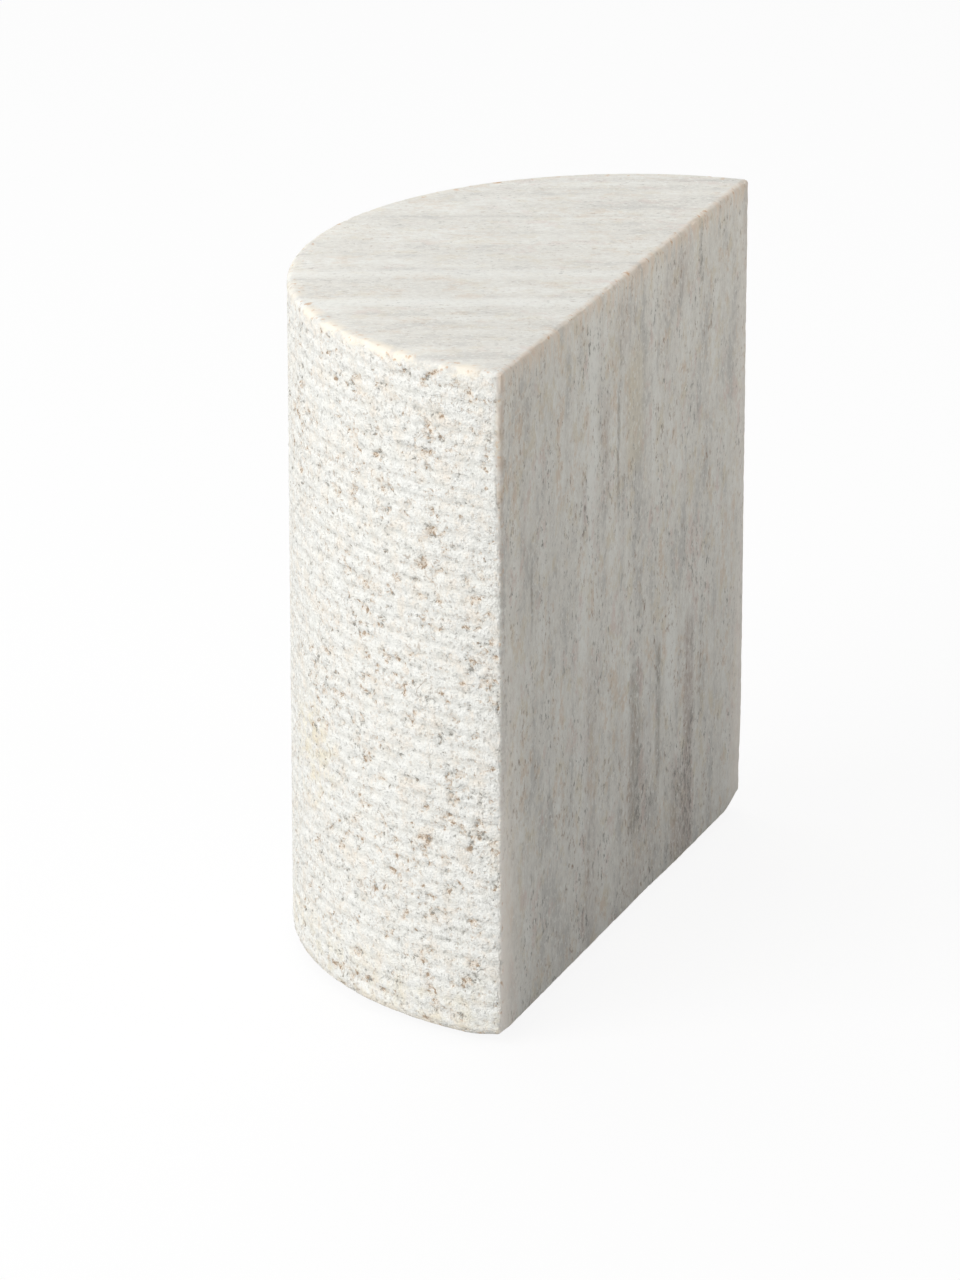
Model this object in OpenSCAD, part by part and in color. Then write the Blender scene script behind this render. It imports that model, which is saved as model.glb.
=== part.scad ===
// Round-backed stone book end. A round marble column is sawn down its length; the flat sawn face meets the books,
// the curved back keeps its combed courses, and the block stands on four stick-on rubber foot pads.
// The book face looks along +X, the crown of the back along -X, and the pads stand on z = 0.

/* [Stone block] */
// Diameter of the round column that the block is cut from
column_d = 130; // [100:1:180]
// Depth from the flat book face to the crown of the curved back
block_depth = 63.5; // [50:0.5:90]
// Height of the stone, without its foot pads
block_h = 128.5; // [80:0.5:200]

/* [Eased edges] */
// Radius of the top edges
top_r = 1; // [0.6:0.1:4]
// Radius of the bottom edges
bottom_r = 1.2; // [0.6:0.1:4]
// Radius of the two upright edges of the book face
upright_r = 0.8; // [0.6:0.1:4]

/* [Combed back] */
// Height of one combed course, from groove to groove
course_pitch = 2.75; // [2:0.05:6]
// Depth of a groove below the crests beside it
groove_depth = 0.35; // [0.1:0.05:0.5]
// Width of a groove at its mouth
groove_w = 1.7; // [1:0.1:1.9]
// Height of the plain band between the eased edges and the combed courses
plain_band = 1; // [0.2:0.1:6]

/* [Foot pads] */
// Diameter of a foot pad and of the adhesive disc above it
pad_d = 12; // [8:0.5:20]
// Thickness of the rubber of a foot pad
pad_t = 1.3; // [0.8:0.1:4]
// Radius of the rubber's lower edge
pad_edge_r = 0.5; // [0.1:0.1:0.7]
// Thickness of the adhesive disc
adhesive_t = 0.2; // [0.1:0.05:0.5]
// Flat stone left showing between a pad and the eased edge of the base
pad_inset = 4.5; // [1:0.5:12]
// Angle of a crown pad from the crown, about the column's axis
crown_pad_angle = 34; // [22:1:50]

/* [Hidden] */
$fn = 96;

stone_colour = "#e2dfd6";
rubber_colour = "#d9d9d4";
adhesive_colour = "#c9c6bb";

// Left is -Y and right is +Y, as seen when facing the book face.
LEFT = -1;
RIGHT = 1;

column_r = column_d / 2;
// Plan positions along X, with the block centred on the origin.
face_x = block_depth / 2;
axis_x = column_r - block_depth / 2;

// Heights of the stacked layers: rubber, adhesive, stone.
adhesive_z = pad_t;
block_z = pad_t + adhesive_t;
block_top_z = block_z + block_h;

// Combed courses: as many as fit between the two plain bands, centred in the space.
groove_r = (groove_w * groove_w / 4 + groove_depth * groove_depth) / (2 * groove_depth);
combed_z0 = block_z + bottom_r + plain_band;
combed_h = block_h - bottom_r - top_r - 2 * plain_band;
groove_count = floor(combed_h / course_pitch);
first_groove_z = combed_z0 + (combed_h - (groove_count - 1) * course_pitch) / 2;

// Foot pads lie on the flat of the base, each pad_inset from the nearest eased edge.
pad_edge_gap = bottom_r + pad_inset + pad_d / 2;
pad_reach = column_r - pad_edge_gap;
face_pad_x = face_x - pad_edge_gap;
face_pad_y = sqrt(pad_reach * pad_reach - pow(face_pad_x - axis_x, 2));
crown_pad_x = axis_x - pad_reach * cos(crown_pad_angle);
crown_pad_y = pad_reach * sin(crown_pad_angle);

// Room that a cutting tool takes beyond the stone, so that its own far faces stay clear.
overcut = 20;

// Quarter-round corner to take off an outline: everything outside a circle of radius r, between two directions
// that leave the circle's centre at the angles from_angle and to_angle.
module corner_waste(r, from_angle, to_angle) {
    first = overcut * [cos(from_angle), sin(from_angle)];
    last = overcut * [cos(to_angle), sin(to_angle)];
    difference() {
        polygon([[0, 0], first, first + last, last]);
        circle(r);
    }
}

// Half outline of the turned column, to spin about its axis: eased at the top and bottom, grooved down its side.
module column_profile() {
    difference() {
        translate([0, block_z]) square([column_r, block_h]);
        translate([column_r - top_r, block_top_z - top_r]) corner_waste(top_r, 0, 90);
        translate([column_r - bottom_r, block_z + bottom_r]) corner_waste(bottom_r, -90, 0);
        for (course = [0 : groove_count - 1])
            translate([column_r - groove_depth + groove_r, first_groove_z + course * course_pitch]) circle(groove_r);
    }
}

// Waste beyond the sawn book face, with the eased top and bottom edges of that face.
module saw_waste() {
    translate([0, column_r + overcut, 0]) rotate([90, 0, 0]) linear_extrude(column_d + 2 * overcut) {
        translate([face_x, block_z - overcut]) square([column_d + overcut, block_h + 2 * overcut]);
        translate([face_x - top_r, block_top_z - top_r]) corner_waste(top_r, 0, 90);
        translate([face_x - bottom_r, block_z + bottom_r]) corner_waste(bottom_r, -90, 0);
    }
}

// Waste outside one upright edge of the book face; the eased edge runs tangent to the face and to the back.
module upright_waste(side) {
    centre_x = face_x - upright_r;
    centre_y = sqrt(pow(column_r - upright_r, 2) - pow(centre_x - axis_x, 2));
    back_angle = atan2(centre_y, centre_x - axis_x);
    translate([0, 0, block_z - overcut]) linear_extrude(block_h + 2 * overcut)
        mirror([0, side == LEFT ? 1 : 0])
            translate([centre_x, centre_y]) corner_waste(upright_r, 0, back_angle);
}

module marble_block() {
    color(stone_colour) difference() {
        translate([axis_x, 0, 0]) rotate_extrude() column_profile();
        saw_waste();
        upright_waste(LEFT);
        upright_waste(RIGHT);
    }
}

// Places a pad or an adhesive disc under the block, at the book face or near the crown.
module at_face(side) { translate([face_pad_x, side * face_pad_y, 0]) children(); }
module at_crown(side) { translate([crown_pad_x, side * crown_pad_y, 0]) children(); }

module foot_pad() {
    color(rubber_colour) rotate_extrude() difference() {
        square([pad_d / 2, pad_t]);
        translate([pad_d / 2 - pad_edge_r, pad_edge_r]) corner_waste(pad_edge_r, -90, 0);
    }
}

module adhesive_disc() {
    color(adhesive_colour) translate([0, 0, adhesive_z]) cylinder(d = pad_d, h = adhesive_t);
}

marble_block();
at_face(LEFT) foot_pad();  // foot_pad_face_left
at_face(RIGHT) foot_pad();  // foot_pad_face_right
at_crown(LEFT) foot_pad();  // foot_pad_crown_left
at_crown(RIGHT) foot_pad();  // foot_pad_crown_right
at_face(LEFT) adhesive_disc();  // adhesive_disc_face_left
at_face(RIGHT) adhesive_disc();  // adhesive_disc_face_right
at_crown(LEFT) adhesive_disc();  // adhesive_disc_crown_left
at_crown(RIGHT) adhesive_disc();  // adhesive_disc_crown_right
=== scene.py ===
# %% [markdown]
# A book end is a heavy thing that stops a row of books from falling over. This one is half of a round marble
# column: the flat sawn face meets the books, the top is honed smooth, and the curved back keeps the courses
# that a toothed chisel combed into it. It stands on four thin rubber pads. The lesson dresses that object:
# it loads the measured model, sets up a camera and soft light, models the stone again with a real combed
# back, and gives each surface a finish that is worked out from its place in the stone.

# %% Load the measured model
import math

import bmesh
import bpy
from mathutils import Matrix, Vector


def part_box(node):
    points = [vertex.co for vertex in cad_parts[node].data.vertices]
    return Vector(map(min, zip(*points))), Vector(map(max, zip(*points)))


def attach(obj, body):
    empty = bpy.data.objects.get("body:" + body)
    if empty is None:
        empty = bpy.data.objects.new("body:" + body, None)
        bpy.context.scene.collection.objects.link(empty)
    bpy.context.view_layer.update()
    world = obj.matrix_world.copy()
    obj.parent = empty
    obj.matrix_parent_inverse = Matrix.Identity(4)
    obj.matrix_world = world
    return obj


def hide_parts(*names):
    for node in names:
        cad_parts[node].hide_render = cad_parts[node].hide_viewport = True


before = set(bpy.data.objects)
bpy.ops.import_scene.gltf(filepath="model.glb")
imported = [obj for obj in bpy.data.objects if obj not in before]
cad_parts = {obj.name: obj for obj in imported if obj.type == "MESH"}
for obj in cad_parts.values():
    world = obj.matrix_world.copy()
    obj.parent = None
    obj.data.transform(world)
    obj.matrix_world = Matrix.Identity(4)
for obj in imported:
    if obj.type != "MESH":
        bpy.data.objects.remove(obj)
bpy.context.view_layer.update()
print("measured nodes:", sorted(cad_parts))

# %% [markdown]
# Everything that follows hangs on a few sizes. The block's faces come from the measured model, so the new
# stone can't drift away from it. The column's radius and the eased edges can't be read from a box, so they
# are written here once, in millimetres, as a mason would say them.

# %% Sizes of the stone
MM = 0.001
COLUMN_R = 65
TOP_R, BASE_R, ARRIS_R = 1.0, 1.2, 0.8
COURSE_PITCH, PLAIN_BAND = 2.75, 1.0

stone_low, stone_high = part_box("marble_block")
FACE_X, CROWN_X = stone_high.x / MM, stone_low.x / MM
AXIS_X = COLUMN_R - FACE_X
BASE_Z, TOP_Z = stone_low.z / MM, stone_high.z / MM
BLOCK_H = TOP_Z - BASE_Z
# Half the width of the book face, and half the arc of the back, up to where an upright edge begins to turn.
HALF_WIDTH = math.sqrt(COLUMN_R ** 2 - (FACE_X - AXIS_X) ** 2)
edge_x = FACE_X - ARRIS_R - AXIS_X
HALF_ARC = COLUMN_R * (math.pi - math.acos(edge_x / (COLUMN_R - ARRIS_R)))
# The lowest groove: as many courses as fit between two plain bands, centred in the space.
combed_h = BLOCK_H - TOP_R - BASE_R - 2 * PLAIN_BAND
spare_h = combed_h - (math.floor(combed_h / COURSE_PITCH) - 1) * COURSE_PITCH
FIRST_GROOVE_Z = BASE_Z + BASE_R + PLAIN_BAND + spare_h / 2
print(f"stone {2 * FACE_X:.1f} mm deep and {BLOCK_H:.1f} mm high, half arc {HALF_ARC:.1f} mm")

# %% [markdown]
# The camera stands where the photographer stood. Its angles, its distance and its long lens come from
# matching the block's corners and rims to the picture: a little to the right of the near edge, looking down.

# %% Camera
AZIMUTH, ELEVATION = math.radians(21.73), math.radians(20.34)
CAMERA_DISTANCE, LENS_MM = 1.369, 203.3
SENSOR_MM, VIEW_END = 36, 20
AIM_RIGHT, AIM_UP = 0.0016, -0.0111

to_camera = Vector((math.sin(AZIMUTH) * math.cos(ELEVATION), -math.cos(AZIMUTH) * math.cos(ELEVATION),
                    math.sin(ELEVATION)))
picture_right = Vector((math.cos(AZIMUTH), math.sin(AZIMUTH), 0))
picture_up = to_camera.cross(picture_right)
block_middle = Vector((0, 0, TOP_Z * MM / 2))
aim = block_middle + AIM_RIGHT * picture_right + AIM_UP * picture_up
bpy.ops.object.camera_add(location=aim + CAMERA_DISTANCE * to_camera,
                          rotation=(-to_camera).to_track_quat("-Z", "Y").to_euler())
camera = bpy.context.object
camera.data.lens = LENS_MM
camera.data.sensor_width = SENSOR_MM
camera.data.clip_end = VIEW_END
bpy.context.scene.camera = camera
print("camera at", [round(value, 3) for value in camera.location])

# %% [markdown]
# Node trees can be written as sums. A Wire holds one output socket, and each plus, minus or times between
# wires adds a Math node and gives back its output. The node method makes any other node. The same class
# serves shader trees and geometry trees, so one formula can both carve the stone and colour it.

# %% Sums on sockets
def plug(socket, value):
    """Links a wire to a socket, or writes a plain value into it."""
    if isinstance(value, Wire):
        socket.id_data.links.new(value.socket, socket)
    else:
        socket.default_value = value


class Wire:
    """An output socket that takes part in arithmetic."""

    def __init__(self, socket):
        self.socket = socket

    @classmethod
    def node(cls, tree, kind, settings=None, sockets=None, out=0):
        """One output of a new node of any kind, with its settings and its input sockets filled in."""
        made = tree.nodes.new(kind)
        for name, value in (settings or {}).items():
            setattr(made, name, value)
        for name, value in (sockets or {}).items():
            plug(made.inputs[name], value)
        return cls(made.outputs[out])

    def also(self, kind, settings=None, sockets=None, out=0):
        """A new node in the same tree as this wire."""
        return Wire.node(self.socket.id_data, kind, settings, sockets, out)

    def math(self, operation, *values):
        """A Math node on these values."""
        return self.also("ShaderNodeMath", {"operation": operation}, dict(enumerate(values)))

    def __add__(self, other):
        return self.math("ADD", self, other)

    def __sub__(self, other):
        return self.math("SUBTRACT", self, other)

    def __rsub__(self, other):
        return self.math("SUBTRACT", other, self)

    def __mul__(self, other):
        return self.math("MULTIPLY", self, other)

    def __truediv__(self, other):
        return self.math("DIVIDE", self, other)

    def __pow__(self, other):
        return self.math("POWER", self, other)

    __radd__, __rmul__ = __add__, __mul__

    def least(self, other):
        return self.math("MINIMUM", self, other)

    def most(self, other):
        return self.math("MAXIMUM", self, other)

    def size(self):
        return self.math("ABSOLUTE", self)

    def step(self, low, high):
        """0 below low and 1 above high, with a soft rise between. With low above high it falls."""
        sockets = {"Value": self, "From Min": low, "From Max": high}
        return self.also("ShaderNodeMapRange", {"interpolation_type": "SMOOTHSTEP"}, sockets)

    def scaled(self, factor):
        settings = {"operation": "SCALE"}
        return self.also("ShaderNodeVectorMath", settings, {0: self, "Scale": factor})

    def added(self, other):
        return self.also("ShaderNodeVectorMath", {"operation": "ADD"}, {0: self, 1: other})

    def split(self):
        made = self.also("ShaderNodeSeparateXYZ", None, {0: self}).socket.node
        return [Wire(socket) for socket in made.outputs]

    def noise(self, detail=2.0, roughness=0.5, out=0):
        """Smooth noise from 0 to 1, with one lump in about every unit of this vector. Output 1 holds three
        such values."""
        sockets = {"Vector": self, "Scale": 1.0, "Detail": detail, "Roughness": roughness}
        return self.also("ShaderNodeTexNoise", None, sockets, out)

    def scatter(self):
        """The distance to the nearest of many scattered points, one in every unit of this vector, and two
        random numbers that belong to that point."""
        sockets = {"Vector": self, "Scale": 1.0}
        made = self.also("ShaderNodeTexVoronoi", {"voronoi_dimensions": "2D"}, sockets)
        outputs = made.socket.node.outputs
        return [Wire(outputs["Distance"])] + Wire(outputs["Color"]).split()[:2]


def join(x, y, z=0.0):
    """A vector wire from three values, of which x is a wire."""
    return x.also("ShaderNodeCombineXYZ", None, {0: x, 1: y, 2: z})


def blend(factor, first, second):
    """A colour between two colours, by a factor wire."""
    sockets = {0: factor, 6: first, 7: second}
    return factor.also("ShaderNodeMix", {"data_type": "RGBA"}, sockets, 2)


print("sums on sockets are ready")

# %% [markdown]
# Places on the stone. The back is easiest to describe unrolled: how far along the arc from the crown, and
# how high. Moving a point in or out along its radius changes neither, so the carved mesh and the colours,
# which both use these two numbers, stay in step. The eased edges are found from how deep a point lies behind
# the faces that meet there. The stone's own beds stand upright at an angle to the book face, so there are
# directions along and across them too.

# %% Places on the stone
BED_ANGLE = math.radians(22.2)
# The combed courses end in a ragged border: the size of its lumps, and how far they push it up and sideways.
BORDER_LUMP, BORDER_RISE, BORDER_SHIFT = 2.0, 5, 2
# How far the border stands back from an upright edge at the top.
BARE_EDGE = 1.2


def near(distance, spread):
    """1 where a distance is 0, falling evenly to 0 where it is spread."""
    return (1 - distance / spread).most(0)


class Place:
    """Where a point of the stone is, in millimetres, from a wire that holds its position in metres."""

    def __init__(self, position):
        self.point = position.scaled(1 / MM)
        self.x, self.y, self.z = self.point.split()
        inward = AXIS_X - self.x
        self.reach = (inward * inward + self.y * self.y) ** 0.5
        self.along = self.y.math("ARCTAN2", self.y, inward) * COLUMN_R
        self.behind_face = FACE_X - self.x
        self.behind_back = COLUMN_R - self.reach
        self.under_top = TOP_Z - self.z
        self.over_base = self.z - BASE_Z
        self.from_side = HALF_WIDTH - self.y.size()
        self.bed_along = self.x * math.cos(BED_ANGLE) + self.y * math.sin(BED_ANGLE)
        self.bed_across = self.y * math.cos(BED_ANGLE) - self.x * math.sin(BED_ANGLE)

    def unrolled(self, width, height, shift=0.0):
        """The unrolled back as a vector for noise, with lumps of this width and height."""
        return join(self.along / width, self.z / height, shift)

    def bedded(self, along, height, across, shift=0.0):
        """The stone's own directions as a vector for noise, with lumps of these three lengths."""
        return join(self.bed_along / along, self.z / height, self.bed_across / across + shift)

    def eased(self, spread):
        """1 in the middle of an eased edge, falling to 0 on the faces beside it, spread mm away."""
        ends = near(self.under_top, spread).most(near(self.over_base, spread))
        rim = near(self.behind_back, spread) * ends
        arris = near(self.behind_face, spread) * ends.most(near(self.behind_back, spread))
        return (2 * rim.most(arris)).least(1)

    def combed(self):
        """1 on the combed courses of the back, 0 on every other surface. The border is ragged, and near the
        top it leaves the upright edges bare."""
        ragged = self.unrolled(BORDER_LUMP, BORDER_LUMP).noise(3.0, 0.6) - 0.5
        height = self.z + BORDER_RISE * ragged
        upper = height.step(TOP_Z - 0.9, TOP_Z - 2.3)
        lower = height.step(BASE_Z + 0.2, BASE_Z + 1.6)
        bare = BARE_EDGE * self.z.step(85, 122)
        ends = (self.along.size() + BORDER_SHIFT * ragged + bare).step(HALF_ARC + 0.8, HALF_ARC)
        return upper * lower * ends * self.behind_back.step(2.6, 2.0)


print("places on the stone are ready")

# %% [markdown]
# The combed back. A mason draws a toothed chisel round the column, course above course, and the stone breaks
# away in bites between the teeth marks. So the relief is built up in that order: level courses that waver a
# little, small uneven bites, and flaws, which are patches of loose crystals. The flaws gather in upright
# bands, because they follow the beds of the stone, and there are more of them towards the upright edges. A
# flaw holds clusters of crumbs too fine for the mesh, so those are kept for the colours and the bump. The
# formula only ever cuts below the crests, so the stone never grows past its measured size.

# %% Relief of the combed back
GROOVE_DEPTH, BITE_DEPTH, FLAW_DEPTH = 0.16, 0.32, 0.45
GROOVE_SHARPNESS = 3.5
# The lumps of each noise: width and height in millimetres, and a shift that sets each noise apart.
WAVER_LUMPS = (40, 16, 0.0)
WORKED_LUMPS = (9, 4, 7.3)
BITE_LUMPS = (1.6, 1.3, 3.1)
BAND_LUMPS = (8, 24, 11.9)
FLAW_LUMPS = (2.6, 2.2, 5.3)
CRUMB_LUMPS = (1.00, 1.05, 2.4)


class Combing:
    """The relief of the combed back at a place: its depth in millimetres, its parts, each from 0 to 1, and
    the upright bands, which go from -0.5 to 0.5."""

    def __init__(self, place):
        waver = place.unrolled(*WAVER_LUMPS).noise(1.0) - 0.5
        course = (place.z - FIRST_GROOVE_Z) / COURSE_PITCH + 0.5 * waver
        turn = course * (2 * math.pi)
        self.groove = (0.5 + 0.5 * turn.math("COSINE", turn)) ** GROOVE_SHARPNESS
        edgeward = place.along.size().step(10, 95)
        self.worked = (place.unrolled(*WORKED_LUMPS).noise(2.0) + 0.12 * edgeward).step(0.36, 0.66)
        bitten = place.unrolled(*BITE_LUMPS).noise(3.0, 0.7).step(0.62, 0.36)
        self.bite = bitten * (0.70 + 0.30 * self.groove)
        self.bands = place.unrolled(*BAND_LUMPS).noise(2.0) - 0.5
        loose = place.unrolled(*FLAW_LUMPS).noise(3.0, 0.65) + 0.35 * self.bands + 0.045 * edgeward
        self.flaw = loose.step(0.57, 0.71)
        crumbs = place.unrolled(*CRUMB_LUMPS).noise(3.0, 0.70) + 0.13 * self.flaw + 0.02 * self.groove
        self.rim = crumbs.step(0.57, 0.68)
        self.pit = crumbs.step(0.655, 0.735)
        self.depth = (GROOVE_DEPTH * self.groove * (0.5 + 0.5 * self.worked) + BITE_DEPTH * self.bite
                      + FLAW_DEPTH * self.flaw * (0.4 + 0.6 * bitten))


print(f"relief up to {GROOVE_DEPTH + BITE_DEPTH + FLAW_DEPTH:.2f} mm deep")

# %% [markdown]
# The stone starts as a plain cylinder as wide as the column. A bisect saws it flat, as the real one was. The
# saw leaves a sliver of a side beside the cut, which is dissolved, because a bevel needs room there.

# %% Saw the column
SIDES = 240
# How far from a plane a point may lie and still count as lying on it, in millimetres.
LEVEL = 0.01


def start_edit(piece):
    """Makes a piece the only selected object and opens it in edit mode."""
    bpy.ops.object.select_all(action="DESELECT")
    piece.select_set(True)
    bpy.context.view_layer.objects.active = piece
    bpy.ops.object.mode_set(mode="EDIT")


def pick(piece, kind, test):
    """In edit mode, selects the edges or faces of a piece that pass a test, and says how many there are."""
    bpy.ops.mesh.select_mode(type={"edges": "EDGE", "faces": "FACE"}[kind])
    bpy.ops.mesh.select_all(action="DESELECT")
    work = bmesh.from_edit_mesh(piece.data)
    chosen = [part for part in getattr(work, kind) if test(part)]
    for part in chosen:
        part.select_set(True)
    bmesh.update_edit_mesh(piece.data)
    return len(chosen)


def span(edge):
    """How far an edge runs along X, Y and Z, in millimetres."""
    first, last = (corner.co for corner in edge.verts)
    return [abs(value) / MM for value in last - first]


def middle(edge):
    """The middle of an edge, in millimetres."""
    return (edge.verts[0].co + edge.verts[1].co) / 2 / MM


def goes_up(edge):
    """Whether an edge runs up the stone."""
    return span(edge)[2] > 1


bpy.ops.object.select_all(action="DESELECT")
bpy.ops.mesh.primitive_cylinder_add(vertices=SIDES, radius=COLUMN_R * MM, depth=BLOCK_H * MM,
                                    location=(AXIS_X * MM, 0, (BASE_Z + TOP_Z) / 2 * MM))
stone = bpy.context.object
stone.name = stone.data.name = "marble_stone"
bpy.ops.object.transform_apply(location=True, rotation=True, scale=True)
start_edit(stone)
bpy.ops.mesh.select_all(action="SELECT")
bpy.ops.mesh.bisect(plane_co=(FACE_X * MM, 0, 0), plane_no=(1, 0, 0), use_fill=True, clear_outer=True)
slivers = pick(stone, "edges", lambda edge: goes_up(edge) and LEVEL < FACE_X - middle(edge).x < BASE_R)
bpy.ops.mesh.dissolve_edges(use_verts=True)
print("sawn column:", len(bmesh.from_edit_mesh(stone.data).faces), "faces,", slivers, "slivers dissolved")

# %% [markdown]
# Sharp stone edges chip, so the mason eased them, the lower ones most. Each edge gets a bevel weight that
# stands for its own radius, and one Bevel modifier rounds them all, which also makes clean corners where
# three eased edges meet.

# %% Ease the edges
EASE_STEPS = 6


def at_top(edge):
    return middle(edge).z > TOP_Z - LEVEL


def at_base(edge):
    return middle(edge).z < BASE_Z + LEVEL


def at_face(edge):
    return middle(edge).x > FACE_X - LEVEL


def weigh(test, radius):
    """Gives the edges that pass a test a bevel weight for this radius, on top of any that they have."""
    count = pick(stone, "edges", test)
    bpy.ops.transform.edge_bevelweight(value=radius / BASE_R)
    return count


# The front of the top is among the first edges as well, so it only takes the difference.
eased_counts = [
    weigh(at_top, TOP_R),
    weigh(lambda edge: at_top(edge) and at_face(edge), ARRIS_R - TOP_R),
    weigh(at_base, BASE_R),
    weigh(lambda edge: goes_up(edge) and at_face(edge), ARRIS_R),
]
bpy.ops.object.mode_set(mode="OBJECT")
bpy.ops.object.modifier_add(type="BEVEL")
ease = stone.modifiers[-1]
ease.limit_method = "WEIGHT"
ease.offset_type = "OFFSET"
ease.width = BASE_R * MM
ease.segments = EASE_STEPS
ease.use_clamp_overlap = False
bpy.ops.object.modifier_apply(modifier=ease.name)
print("edges eased at the top, its front, the base and the uprights:", eased_counts)
print("eased stone:", len(stone.data.polygons), "faces")

# %% [markdown]
# The comb needs points to move: about one every half millimetre on the back, and along every eased edge. The
# three flat faces need none, so they come off first, the strips that are left are subdivided, and each flat
# face is filled again. A narrow inset round it keeps the soft shading of the edge from creeping inwards.

# %% Points for the comb
RIM_INSET = 0.5
ROUND_PARTS, LONG_PARTS = 3, 15
FLAT_AREA = 500 * MM * MM
ARC_STEP = 2 * math.pi * COLUMN_R / SIDES
# Lengths that tell edges apart, in millimetres: those round the back are shorter than the first, those still
# to be cut are longer than the second, and after one cut longer than the third.
LONGEST_STEP, LONG_EDGE, CUT_EDGE = 3, COLUMN_R, 4


def is_flat(face):
    """Whether a face is the top, the base or the book face."""
    return face.calc_area() > FLAT_AREA and max(abs(face.normal.z), face.normal.x) > 0.999


def goes_round(edge):
    """Whether an edge is one of the level sides that go round the back."""
    return span(edge)[2] < LEVEL and 0.8 * ARC_STEP < edge.calc_length() / MM < LONGEST_STEP


start_edit(stone)
pick(stone, "faces", is_flat)
bpy.ops.mesh.delete(type="ONLY_FACE")
found = pick(stone, "edges", goes_round)
bpy.ops.mesh.subdivide(number_cuts=ROUND_PARTS - 1)
print("round the back:", found, "edges in", ROUND_PARTS, "parts")
# One operator makes at most 100 cuts, so the long edges are cut twice.
for axis, name in ((1, "along the book face"), (2, "up the sides")):
    for shortest in (LONG_EDGE, CUT_EDGE):
        found = pick(stone, "edges", lambda edge: span(edge)[axis] > shortest)
        bpy.ops.mesh.subdivide(number_cuts=LONG_PARTS - 1)
    print(name + ":", found, "edges in", LONG_PARTS, "parts")
for rim in (at_top, at_base, at_face):
    pick(stone, "edges", lambda edge: edge.is_boundary and rim(edge))
    bpy.ops.mesh.edge_face_add()
    bpy.ops.mesh.inset(thickness=RIM_INSET * MM)
bpy.ops.mesh.select_all(action="SELECT")
bpy.ops.mesh.normals_make_consistent(inside=False)
bpy.ops.object.mode_set(mode="OBJECT")
bpy.ops.object.shade_smooth()
print("stone ready for the comb:", len(stone.data.vertices), "points")

# %% [markdown]
# A heavy block is set down on its lower edges, and they show it: the base of the book face is chafed, its
# near corner is rounded, and its far corner is knocked back most. On a real stone that comes with use. Here
# it is a move for each point, which fades out away from the corner, so that the wear runs into the sound
# stone without a step.

# %% Wear of the lower edge
BASE_WEAR, NEAR_WEAR, NEAR_ROUND = 0.35, 0.5, 1.6
FAR_WEAR, FAR_PULL = 1.9, 0.9
# How far the wear reaches in millimetres: along the base from each corner, back from the face, and up.
NEAR_REACH, FAR_REACH, FACE_REACH = 6, 10, 7
LIFT_UP, ROUND_UP, PULL_UP = 9, 10, 22


def rounded(place, radius):
    """The moves along X and Y that round the near upright edge to a radius: a point outside the round goes
    straight to it, towards its centre."""
    along_x = (radius - place.behind_face).most(0)
    along_y = (radius - (HALF_WIDTH + place.y)).most(0)
    to_centre = (along_x * along_x + along_y * along_y) ** 0.5
    share = (to_centre - radius).most(0) / to_centre
    return -1 * share * along_x, share * along_y


def knocked(place):
    """How far the lower edge and corners of the book face are knocked in, as a vector in millimetres."""
    near_lift = NEAR_WEAR * (HALF_WIDTH + place.y).step(NEAR_REACH, 0)
    far_lift = FAR_WEAR * (HALF_WIDTH - place.y).step(FAR_REACH, 0)
    chafed = BASE_WEAR * place.y.step(30, 10)
    at_face_edge = place.behind_face.step(FACE_REACH, 0)
    lift = (near_lift + far_lift + chafed) * at_face_edge * place.over_base.step(LIFT_UP, 0)
    at_upright = at_face_edge * place.from_side.step(FACE_REACH, 0)
    far_pull = FAR_PULL * place.y.step(-5, 5) * place.over_base.step(PULL_UP, 4) * at_upright
    round_x, round_y = rounded(place, NEAR_ROUND * place.over_base.step(ROUND_UP, 0))
    return join(round_x, round_y - far_pull, lift)


print("lower corners lifted by", NEAR_WEAR, "and", FAR_WEAR, "mm")

# %% [markdown]
# Now the comb itself: a geometry tree moves each point of the back towards the column's axis by the relief,
# and wears the eased edges a little unevenly, as hand work does. The same tree marks the combed faces, which
# get a finish of their own, and keeps the face, the crown and the top a hair inside the measured box.
# Applied, it leaves an ordinary mesh.

# %% Comb the back
EDGE_LUMP, EDGE_WEAR, EDGE_CHIP = 2.2, 0.30, 0.45
HAIR = 0.002

comb = bpy.data.node_groups.new("comb", "GeometryNodeTree")
comb.interface.new_socket("Geometry", in_out="INPUT", socket_type="NodeSocketGeometry")
comb.interface.new_socket("Geometry", in_out="OUTPUT", socket_type="NodeSocketGeometry")
uncombed = Wire.node(comb, "NodeGroupInput")
place = Place(Wire.node(comb, "GeometryNodeInputPosition"))
outward = Wire.node(comb, "GeometryNodeInputNormal")
combed = place.combed()
carved = Combing(place).depth * combed
inward = join((AXIS_X - place.x) / place.reach, -1 * place.y / place.reach)
rough_edge = place.point.scaled(1 / EDGE_LUMP).noise(3.0, 0.65)
worn = place.eased(BASE_R) * (EDGE_WEAR * rough_edge + EDGE_CHIP * rough_edge.step(0.58, 0.72))
cut = inward.scaled(carved).added(outward.scaled(-1 * worn)).added(knocked(place))
x, y, z = place.point.added(cut).split()
inside_x = x.least(FACE_X - HAIR).most(CROWN_X + HAIR)
inside = join(inside_x, y, z.least(TOP_Z - HAIR)).scaled(MM)
chosen = {"Geometry": uncombed, "Selection": combed.math("GREATER_THAN", combed, 0.5), "Material Index": 1}
split = Wire.node(comb, "GeometryNodeSetMaterialIndex", None, chosen)
moved = Wire.node(comb, "GeometryNodeSetPosition", None, {"Geometry": split, "Position": inside})
plug(comb.nodes.new("NodeGroupOutput").inputs[0], moved)
bpy.ops.object.modifier_add(type="NODES")
stone.modifiers[-1].node_group = comb
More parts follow.
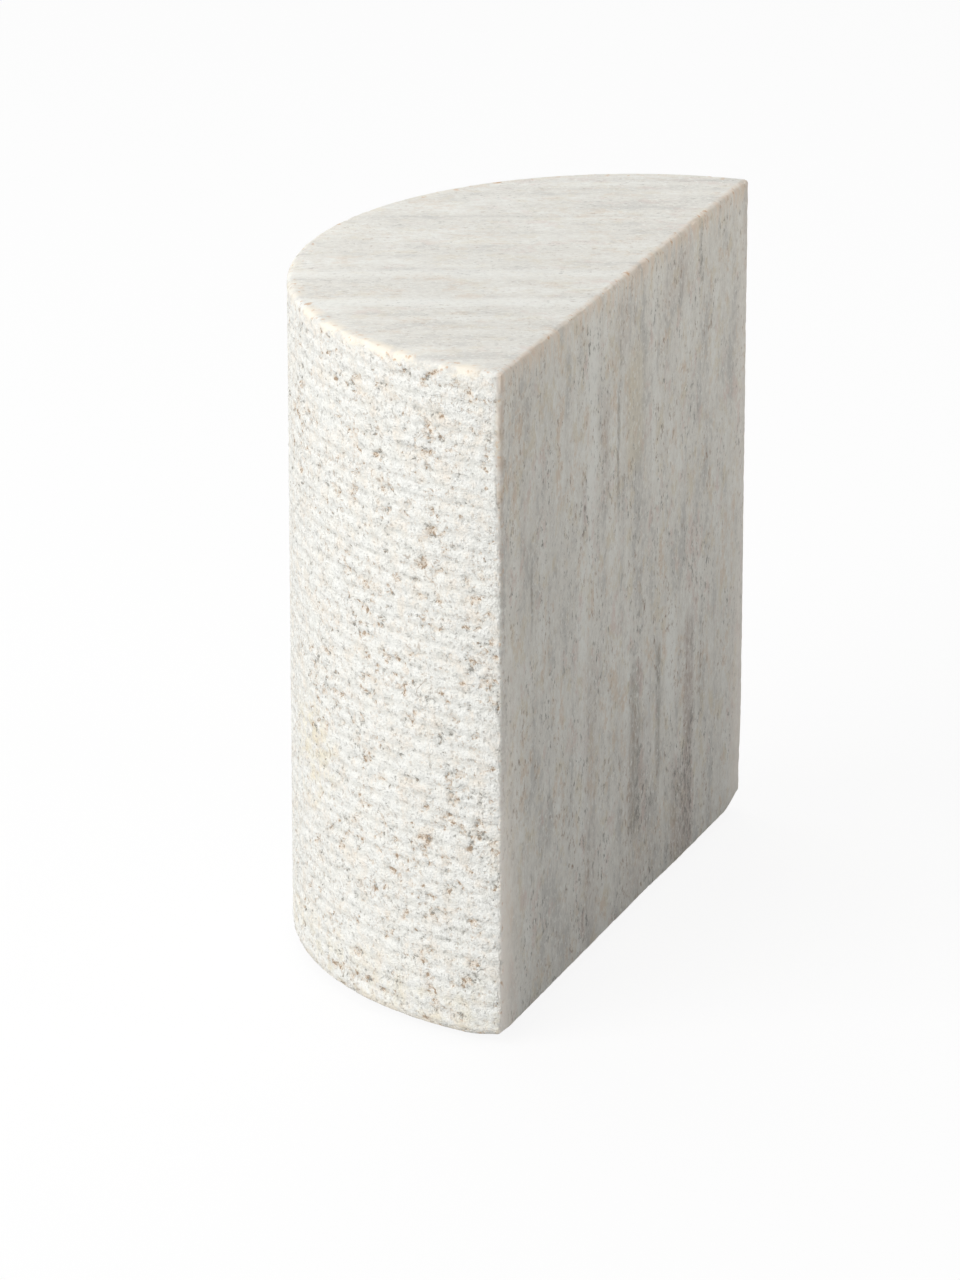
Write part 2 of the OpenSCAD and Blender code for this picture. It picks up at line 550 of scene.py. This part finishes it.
bpy.ops.object.modifier_apply(modifier=stone.modifiers[-1].name)
stone.data.calc_loop_triangles()
print("combed stone:", len(stone.data.loop_triangles), "triangles")

# %% [markdown]
# The marble. Its beds stand upright and run across the block, so the top shows them as long level streaks
# and the book face as upright ones. The veins and beds that the eye goes to first are listed one by one:
# each is a thin lens in a bed, at its own place on the book face.

# %% Colours and veins of the marble
STONE = (0.735, 0.722, 0.676, 1)
PALE_BED = (0.830, 0.835, 0.800, 1)
GREY_BED = (0.570, 0.562, 0.532, 1)
BROWN_STREAK = (0.640, 0.520, 0.400, 1)
OLIVE_STREAK = (0.660, 0.600, 0.470, 1)
PINK_BED = (0.640, 0.525, 0.475, 1)
MAUVE_VEIN = (0.390, 0.320, 0.290, 1)
DARK_VEIN = (0.300, 0.290, 0.265, 1)
DARK_FLECK = (0.220, 0.210, 0.185, 1)
BROWN_FLECK = (0.330, 0.235, 0.165, 1)

# Veins and beds on the book face: place across the face, lowest and highest point and thickness, all in
# millimetres, then strength and colour.
DARK_VEINS = [
    (26.0, 118, 126, 16.0, 0.38, MAUVE_VEIN),
    (-4.0, 116, 126, 9.0, 0.38, MAUVE_VEIN),
    (-6.0, 86, 108, 1.6, 0.90, DARK_VEIN),
    (-50.0, 78, 88, 1.4, 0.75, DARK_VEIN),
    (38.0, 118, 128, 1.6, 0.70, DARK_VEIN),
    (63.5, 121, 128, 3.0, 0.70, DARK_VEIN),
    (16.5, 24, 50, 3.0, 0.90, DARK_VEIN),
    (4.0, 18, 50, 7.0, 0.85, DARK_VEIN),
    (6.0, 4, 40, 20.0, 0.30, MAUVE_VEIN),
    (28.0, 2, 22, 10.0, 0.75, MAUVE_VEIN),
    (40.5, 30, 40, 5.0, 0.45, DARK_VEIN),
    (33.5, 4, 50, 6.0, 0.95, MAUVE_VEIN),
    (-23.5, 86, 97, 3.0, 0.50, MAUVE_VEIN),
    (-12.5, 90, 110, 4.5, 0.45, MAUVE_VEIN),
    (-20.0, 4, 60, 9.0, 0.34, MAUVE_VEIN),
]
PALE_BEDS = [
    (-19.5, 92, 140, 6.0, 0.65, PALE_BED),
    (-0.5, 129, 140, 5.5, 0.55, PALE_BED),
    (-23.0, 30, 80, 3.5, 0.55, PALE_BED),
    (13.0, 85, 125, 2.8, 0.55, PALE_BED),
    (23.5, 36, 56, 6.5, 0.75, PALE_BED),
    (10.5, 28, 48, 4.0, 0.55, PALE_BED),
    (3.0, 92, 113, 10.0, 0.50, OLIVE_STREAK),
]
print("veins and beds placed by hand:", len(DARK_VEINS) + len(PALE_BEDS))

# %% [markdown]
# The honed colour is laid on in layers, from large to small: clouds, warm patches, the beds and veins that
# are listed one by one, then grain and flecks. One set of three directions, along the beds, up the beds and
# across them, serves every layer and the whole block, so the streaks meet at the edges as they do in solid
# stone. The dark veins are crumbly, and dark flecks crowd in them.

# %% Honed marble
VEIN_WOBBLE, VEIN_WEIGHT = 2.2, 0.72
# The lumps of each noise along, up and across the beds, in millimetres, and a shift that sets it apart.
STREAK_LUMPS = (45, 40, 5, 0.0)
CLOUD_LUMPS = (12, 13, 7, 20)
HUE_LUMPS = (12, 14, 8, 40)
WARM_LUMPS = (5, 5.5, 3.4, 60)
WOBBLE_LUMPS = (30, 7, 9, 5.5)
CRUMBLE_LUMPS = (1.3, 1.8, 0.9, 9.5)
GRAIN_LUMPS = (1.0, 1.3, 0.8, 30)
CROWD_LUMPS = (13, 16, 7, 80)
FLECK_LUMPS = (1.6, 2.0, 0.95, 100)


def lens(place, wobble, across_face, low, high, thickness):
    """1 in the middle of a vein or bed that stands at this place on the book face, falling to 0 at its two
    sides and a little way past its lowest and highest points."""
    bed_middle = across_face * math.cos(BED_ANGLE) - FACE_X * math.sin(BED_ANGLE)
    aside = (place.bed_across + VEIN_WOBBLE * wobble - bed_middle).size()
    ends = place.z.step(low - 4, low + 2) * place.z.step(high + 4, high - 2)
    return aside.step(0.6 * thickness, 0.15 * thickness) * ends


def honed_colour(place):
    """Colour of the stone where it is sawn and honed smooth."""
    # The top shows its colours more softly than the book face does.
    contrast = 1 - 0.45 * near(place.under_top, 0.8)
    # Long streaks, with clouds of grey and of pale stone along them.
    streak = place.bedded(*STREAK_LUMPS).noise(3.0) - 0.5
    cloud = place.bedded(*CLOUD_LUMPS).noise(5.0, 0.85) + 0.65 * streak
    colour = blend(cloud.step(0.50, 0.32) * (0.30 + 0.70 * contrast), STONE, GREY_BED)
    colour = blend(0.7 * cloud.step(0.50, 0.68), colour, PALE_BED)
    # Warm patches, each of them pink, olive or brown.
    hue = place.bedded(*HUE_LUMPS).noise(1.0)
    pink_or_olive = blend(hue.step(0.40, 0.48), PINK_BED, OLIVE_STREAK)
    warm_tint = blend(hue.step(0.54, 0.62), pink_or_olive, BROWN_STREAK)
    warm = place.bedded(*WARM_LUMPS).noise(4.0, 0.75) + 0.25 * streak
    colour = blend(0.62 * warm.step(0.48, 0.66) * contrast, colour, warm_tint)
    # The beds and veins that are listed one by one.
    wobble = place.bedded(*WOBBLE_LUMPS).noise(4.0, 0.6) - 0.5
    for *spot, strength, tint in PALE_BEDS:
        colour = blend(strength * lens(place, wobble, *spot), colour, tint)
    crumbly = 0.35 + 0.65 * place.bedded(*CRUMBLE_LUMPS).noise(4.0, 0.75).step(0.32, 0.66)
    veins = [(strength * lens(place, wobble, *spot), tint) for *spot, strength, tint in DARK_VEINS]
    for vein, tint in veins:
        colour = blend(VEIN_WEIGHT * vein * crumbly, colour, tint)
    # Fine pale and grey grain, and flecks that crowd in patches and in the dark veins.
    grain = place.bedded(*GRAIN_LUMPS).noise(2.0, 0.7)
    colour = blend(0.75 * grain.step(0.52, 0.72), colour, PALE_BED)
    colour = blend(0.35 * grain.step(0.46, 0.30), colour, GREY_BED)
    crowd = place.bedded(*CROWD_LUMPS).noise(1.0).step(0.34, 0.62)
    in_vein = sum(vein for vein, tint in veins).least(1)
    flecks = place.bedded(*FLECK_LUMPS).noise(3.0, 0.75) + 0.07 * in_vein
    flecks = flecks.step(0.54, 0.70) * (0.25 + 0.75 * crowd)
    fleck_tint = blend(hue.step(0.45, 0.60), DARK_FLECK, BROWN_FLECK)
    return blend(0.85 * flecks * contrast, colour, fleck_tint)


print("clouds of about", CLOUD_LUMPS[:3], "mm, flecks of about", FLECK_LUMPS[:3], "mm")

# %% [markdown]
# The combed back is the same stone, bruised white by the tool. Crushed crystals scatter the light on the
# crests. The hollows are grey with bare stone and with painted shade. Crumbs that fell out of the flaws left
# small pits, some dark with rust and the others with painted shade, each with a rusty rim or a rim greyed
# with painted shade. A straw-coloured stain lies low on one side and along the base, and a few rusty cracks
# as fine as hairs run through the stone.

# %% Colours of the combed back
BRUISED = (0.882, 0.882, 0.846, 1)
CREAM = (0.860, 0.795, 0.705, 1)
# Grey of bare stone in the hollows, with painted shade of the grooves as well.
HOLLOW_GREY_AND_SHADE = (0.640, 0.630, 0.590, 1)
CRYSTAL = (0.620, 0.622, 0.590, 1)
RUST_RIM = (0.770, 0.620, 0.470, 1)
RUST = (0.295, 0.200, 0.125, 1)
# Painted shade for the pits, their rims and the small specks that are not rusty.
SHADE_RIM = (0.600, 0.590, 0.540, 1)
SHADE = (0.230, 0.215, 0.185, 1)
STRAW = (0.800, 0.690, 0.440, 1)
STAIN_ALONG, STAIN_Z, STAIN_REACH, STAIN_RISE = -49, 45, 14, 16
SPECK_SPACING, SPECK_SMALL, SPECK_LARGE = 1.15, 0.10, 0.35
# The lumps of each noise: width and height in millimetres, and a shift that sets each noise apart.
CREAM_LUMPS = (3.5, 4.5, 2.2)
CRYSTAL_LUMPS = (2.4, 1.7, 8.8)
POWDER_LUMPS = (0.42, 0.6, 1.2)
STAIN_LUMPS = (3, 3, 6.6)
RUST_LUMPS = (2.2, 2.2, 4.4)
PUSH_LUMPS = (0.5, 0.5, 7.7)
CRACK_LUMPS = (4.5, 6.5, 9.9)
CRACKED_LUMPS = (5, 5, 13.1)


def combed_colour(place, combing):
    """Colour of the combed back."""
    # Bruised crests with cream patches, grey hollows with painted shade, and crystals large and small.
    cream = place.unrolled(*CREAM_LUMPS).noise(4.0, 0.7).step(0.46, 0.68)
    colour = blend(0.8 * cream, BRUISED, CREAM)
    hollow_grey_and_shade = combing.groove * (0.15 + 0.85 * combing.worked) + 0.35 * combing.bite
    colour = blend((0.38 * hollow_grey_and_shade).least(0.8), colour, HOLLOW_GREY_AND_SHADE)
    crystals = place.unrolled(*CRYSTAL_LUMPS).noise(4.0, 0.75).step(0.48, 0.66)
    colour = blend(0.60 * crystals * (0.7 + 0.3 * combing.groove), colour, CRYSTAL)
    powder = place.unrolled(*POWDER_LUMPS).noise(2.0, 0.6).step(0.54, 0.72)
    colour = blend(0.7 * powder, colour, CRYSTAL)
    # The stain: a round patch, a band along the base, and a trace everywhere.
    across = (place.along - STAIN_ALONG) / STAIN_REACH
    above = (place.z - STAIN_Z) / STAIN_REACH
    stain = (across * across + above * above).step(1.0, 0.0).most(0.7 * place.over_base.step(STAIN_RISE, 2))
    stain = stain.most(0.12) * place.unrolled(*STAIN_LUMPS).noise(3.0, 0.6).step(0.40, 0.68)
    colour = blend(0.45 * stain, colour, STRAW)
    # Flaws, then the rims and the pits of their crumbs, rusty or in painted shade.
    rusty = (place.unrolled(*RUST_LUMPS).noise(2.0, 0.6) + 0.06 * combing.flaw).step(0.48, 0.58)
    colour = blend(0.30 * combing.flaw * rusty, colour, RUST_RIM)
    colour = blend(0.40 * combing.rim, colour, blend(rusty, SHADE_RIM, RUST_RIM))
    colour = blend(0.80 * combing.pit, colour, blend(rusty, SHADE, RUST))
    # Small specks, pushed out of round by noise, more of them in the upright bands.
    pushed = place.unrolled(*PUSH_LUMPS).noise(1.0, 0.5, 1).scaled(0.8)
    distance, chance, tint = place.unrolled(SPECK_SPACING, SPECK_SPACING).added(pushed).scatter()
    speck_size = SPECK_SMALL + (SPECK_LARGE - SPECK_SMALL) * chance
    speck = (distance * SPECK_SPACING / speck_size).step(1.2, 0.7)
    speck = speck * (chance + combing.bands).step(0.4, 0.9)
    colour = blend(0.28 * speck, colour, blend(tint.step(0.45, 0.55), SHADE, RUST))
    # Cracks follow a level line of a noise, and show in a few places only.
    crack_line = (place.unrolled(*CRACK_LUMPS).noise(2.0) - 0.5).size().step(0.014, 0.004)
    crack = crack_line * place.unrolled(*CRACKED_LUMPS).noise(1.0).step(0.64, 0.72)
    return blend(0.5 * crack, colour, RUST)


print(f"stain {STAIN_REACH} mm about a point {STAIN_ALONG} mm along the back and {STAIN_Z} mm up")

# %% [markdown]
# Marble lets a little light through, so thin stone glows. Here that glow is painted into the colour: the
# book face is paler beside its upright edges, most of all low down, and has a warm streaked band below its
# top edge.
# The upper part of the upright edges is browner, a brown that also paints the shade of the turned edge. The
# rims of the back are cream, and small rusty chips lie along the edges.

# %% Colours along the edges, with painted glow and shade
# Painted glow below the top edge, standing in for light that thin marble lets through.
EDGE_GLOW = (0.780, 0.640, 0.510, 1)
# Brown that also paints the shade of the turned upright edge.
EDGE_BROWN_AND_SHADE = (0.560, 0.450, 0.355, 1)
# Painted glow of thin stone beside the upright edges.
LIT_STONE = (0.930, 0.880, 0.815, 1)
RIM_CREAM = (0.880, 0.810, 0.690, 1)
RIM_CHIP = (0.560, 0.350, 0.190, 1)
# How far each change reaches from its edge, in millimetres.
THIN_REACH, RIM_REACH, UPRIGHT_REACH, FRONT_REACH = 10, 3.2, 1.4, 1.6
STREAK_WIDTH, STREAK_HEIGHT = 1.4, 7
BROWN_LUMPS = (4, 3, 1.7)
PATCH_LUMPS = (6, 4, 5.1)
CHIP_LUMP = 1.5


def edge_colour(place, colour):
    """The honed colour, changed along the edges of the book face and along the rims of the back."""
    # Painted glow: pale thin stone beside the upright edges, and a warm band below the top edge.
    on_face = place.behind_face.step(1.6, 0.3)
    pale = place.z.step(95, 10).most(0.4 * place.y.step(0, 40))
    colour = blend(0.95 * near(place.from_side, THIN_REACH) * pale * on_face, colour, LIT_STONE)
    streaks = join(place.y / STREAK_WIDTH, place.z / STREAK_HEIGHT).noise(3.0, 0.65).step(0.30, 0.70)
    warm = (0.25 + 0.45 * streaks) * near(place.under_top, 1.5 + 6 * streaks)
    colour = blend(warm * on_face, colour, EDGE_GLOW)
    # Brown on the upper part of the upright edges, which also paints the shade of the turned edge.
    upright = (2 * near(place.behind_face, UPRIGHT_REACH) * near(place.from_side, UPRIGHT_REACH)).least(1)
    brown = 0.35 + 0.65 * place.unrolled(*BROWN_LUMPS).noise(2.0).step(0.38, 0.60)
    colour = blend(0.60 * brown * place.z.step(70, 115) * upright, colour, EDGE_BROWN_AND_SHADE)
    # Cream rims, most of all on one side of the back.
    ends = near(place.under_top, RIM_REACH).most(near(place.over_base, RIM_REACH))
    rim = near(place.behind_back, RIM_REACH) * ends
    patchy = place.unrolled(*PATCH_LUMPS).noise(3.0, 0.6).step(0.36, 0.60)
    cream = (0.3 + 0.7 * place.along.step(-25, -65)) * (HALF_ARC - place.along.size()).step(1, 8)
    colour = blend((1.5 * rim * patchy * cream).least(0.7), colour, RIM_CREAM)
    # Rusty chips along the rims, the upright edges and the front of the top.
    front = (2 * near(place.behind_face, FRONT_REACH) * near(place.under_top, FRONT_REACH)).least(1)
    edges = (2 * rim).most(upright).most(front).least(1)
    chips = place.point.scaled(1 / CHIP_LUMP).noise(2.0).step(0.60, 0.72)
    return blend(0.8 * chips * edges, colour, RIM_CHIP)


print("pale stone reaches", THIN_REACH, "mm from the upright edges, cream", RIM_REACH, "mm from the rims")

# %% [markdown]
# The finish. One recipe makes two materials, which mix the honed and the combed colours by where a point
# lies, so no seam shows where they meet. The honed one also scatters light inside the stone. The crushed
# back is too opaque for that. A bump roughens it instead, with the crumbs pressed in.

# %% The stone's finish
# The share of light that is scattered, how far its red, green and blue go, and the length that 1 stands for.
GLOW_WEIGHT, GLOW_RADIUS, GLOW_MM = 0.2, (1.0, 0.88, 0.74), 20
HONED_ROUGHNESS, COMBED_ROUGHNESS, GRIT_ROUGHNESS = 0.64, 0.88, 0.12
# The size of the grit and the depth of the bump in millimetres, and the bump's shares in crumbs and on honed
# stone.
GRIT_LUMP, BUMP_MM, PIT_BUMP, HONED_BUMP = 0.45, 0.34, 0.3, 0.08
SHEEN = 0.25


def new_material(name):
    """A new material, and the shader in its tree."""
    material = bpy.data.materials.new(name)
    material.use_nodes = True
    return material, material.node_tree.nodes["Principled BSDF"]


def object_position(tree):
    """A wire that holds a point's own position on its object, in metres."""
    return Wire.node(tree, "ShaderNodeTexCoord", out="Object")


def stone_finish(name):
    """The whole stone's colour and grain as one material, and its shader."""
    material, shader = new_material(name)
    tree = material.node_tree
    place = Place(object_position(tree))
    combed, combing = place.combed(), Combing(place)
    colour = edge_colour(place, honed_colour(place))
    plug(shader.inputs["Base Color"], blend(combed, colour, combed_colour(place, combing)))
    grit = place.point.scaled(1 / GRIT_LUMP).noise(3.0, 0.6)
    rougher = (COMBED_ROUGHNESS - HONED_ROUGHNESS) * combed
    plug(shader.inputs["Roughness"], HONED_ROUGHNESS + rougher + GRIT_ROUGHNESS * (grit - 0.5))
    height = grit * (HONED_BUMP + (1 - HONED_BUMP) * combed) - PIT_BUMP * combed * combing.rim
    sockets = {"Strength": 1.0, "Distance": BUMP_MM * MM, "Height": height}
    plug(shader.inputs["Normal"], Wire.node(tree, "ShaderNodeBump", None, sockets))
    shader.inputs["Specular IOR Level"].default_value = SHEEN
    stone.data.materials.append(material)
    print(name, "tree:", len(tree.nodes), "nodes")
    return shader


honed = stone_finish("honed_marble")
honed.subsurface_method = "BURLEY"
honed.inputs["Subsurface Weight"].default_value = GLOW_WEIGHT
honed.inputs["Subsurface Radius"].default_value = GLOW_RADIUS
honed.inputs["Subsurface Scale"].default_value = GLOW_MM * MM
stone_finish("combed_marble")
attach(stone, "root")
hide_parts("marble_block")

# %% [markdown]
# The foot pads are milky rubber and the discs above them are adhesive film. Their measured shapes are right
# as they are, so they only need a finish.

# %% Foot pads and adhesive
RUBBER, RUBBER_SHADE = (0.62, 0.62, 0.59, 1), (0.50, 0.50, 0.47, 1)
FILM, FILM_SHADE = (0.55, 0.52, 0.45, 1), (0.44, 0.41, 0.34, 1)
RUBBER_LUMP, FILM_LUMP = 2.5, 1.2
RUBBER_ROUGHNESS, FILM_ROUGHNESS = 0.55, 0.4


def mottled(name, light, dark, lump, roughness):
    """A matt finish that wanders between two colours, with lumps of that many millimetres."""
    material, shader = new_material(name)
    patches = object_position(material.node_tree).scaled(1 / MM).scaled(1 / lump).noise(4.0, 0.6)
    plug(shader.inputs["Base Color"], blend(patches.step(0.3, 0.7), light, dark))
    plug(shader.inputs["Roughness"], roughness + 0.2 * (patches - 0.5))
    return material


finishes = {
    "foot_pad": mottled("milky_rubber", RUBBER, RUBBER_SHADE, RUBBER_LUMP, RUBBER_ROUGHNESS),
    "adhesive": mottled("adhesive_film", FILM, FILM_SHADE, FILM_LUMP, FILM_ROUGHNESS),
}
for name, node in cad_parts.items():
    for start, finish in finishes.items():
        if name.startswith(start):
            node.data.materials.clear()
            node.data.materials.append(finish)
print("finishes on the feet:", sorted(finishes))

# %% [markdown]
# A plain pale floor under a white sky. The floor looks white to the camera and keeps part of the shadow, and
# the sky is white where it is seen but adds only a little light. Both tell the rays that are seen from the
# rays that only carry light.

# %% Floor and sky
FLOOR_SIZE = 12
# The floor's colour for light and for the eye, and the share of plain white in what the eye sees.
FLOOR_GREY, FLOOR_PALE = (0.56, 0.56, 0.56, 1), (0.96, 0.96, 0.96, 1)
FLOOR_WHITE, FLOOR_ROUGHNESS = 0.90, 0.9
WHITE = (1, 1, 1, 1)
SKY_LEVEL = 0.30

bpy.ops.mesh.primitive_plane_add(size=FLOOR_SIZE, location=(0, 0, -HAIR * MM))
floor = bpy.context.object
floor.name = "floor"


def seen_rays(tree):
    """1 for rays from the camera and for reflected or refracted ones, 0 for rays that only carry light."""
    paths = tree.nodes.new("ShaderNodeLightPath").outputs
    kinds = ("Is Camera Ray", "Is Glossy Ray", "Is Transmission Ray")
    camera_ray, glossy, passing = (Wire(paths[name]) for name in kinds)
    return camera_ray.most(glossy).most(passing)


floor_finish, floor_shader = new_material("pale_floor")
floor_shader.inputs["Roughness"].default_value = FLOOR_ROUGHNESS
tree = floor_finish.node_tree
seen = seen_rays(tree)
plug(floor_shader.inputs["Base Color"], blend(seen, FLOOR_GREY, FLOOR_PALE))
glow = Wire.node(tree, "ShaderNodeEmission", None, {"Color": WHITE, "Strength": 1.0})
sockets = {0: FLOOR_WHITE * seen, 1: Wire(floor_shader.outputs[0]), 2: glow}
shown = Wire.node(tree, "ShaderNodeMixShader", None, sockets)
plug(tree.nodes["Material Output"].inputs["Surface"], shown)
floor.data.materials.append(floor_finish)

world = bpy.data.worlds.new("studio")
bpy.context.scene.world = world
world.use_nodes = True
sky = world.node_tree.nodes["Background"]
sky.inputs["Color"].default_value = WHITE
plug(sky.inputs["Strength"], SKY_LEVEL + (1 - SKY_LEVEL) * seen_rays(world.node_tree))
print("floor", FLOOR_SIZE, "m wide, sky at", SKY_LEVEL)

# %% [markdown]
# Three soft lamps light the stone. The key stands to the left of the camera and above it, so the back is
# bright. One behind the block lights the top and the unseen half of the back. A narrow one at the right
# lights the upper book face, which fades into shade below.

# %% Lamps
over_block = Vector((0.02, 0.03, 0.15))
# The way to each lamp (to the camera's right, towards the camera, up), the point that it looks at, its
# distance from that point and its width in metres, and its power in watts.
LAMPS = {
    "key": ((-0.66, 0.50, 0.45), block_middle, 1.6, 1.3, 25.0),
    "top": ((-0.20, -0.50, 0.84), block_middle, 0.9, 0.6, 2.4),
    "fill": ((0.90, 0.30, 0.30), over_block, 0.45, 0.12, 0.051),
}
FILL_SPREAD = math.radians(52)
FILL_COLOUR = (1.0, 0.95, 0.88)


def softbox(name, way, aim, distance, size, power):
    """A square lamp that looks at a point and isn't seen itself."""
    right, front, up = way
    level_to_camera = Vector((to_camera.x, to_camera.y, 0)).normalized()
    direction = (right * picture_right + front * level_to_camera + Vector((0, 0, up))).normalized()
    bpy.ops.object.light_add(type="AREA", location=aim + distance * direction,
                             rotation=direction.to_track_quat("Z", "Y").to_euler())
    lamp = bpy.context.object
    lamp.name = name
    lamp.visible_camera = False
    lamp.data.size = size
    lamp.data.energy = power
    print(name, "lamp at", [round(value, 2) for value in lamp.location])
    return lamp


lamps = {name: softbox(name, *settings) for name, settings in LAMPS.items()}
lamps["fill"].data.spread = FILL_SPREAD
lamps["fill"].data.color = FILL_COLOUR
bpy.context.scene.view_settings.view_transform = "Standard"
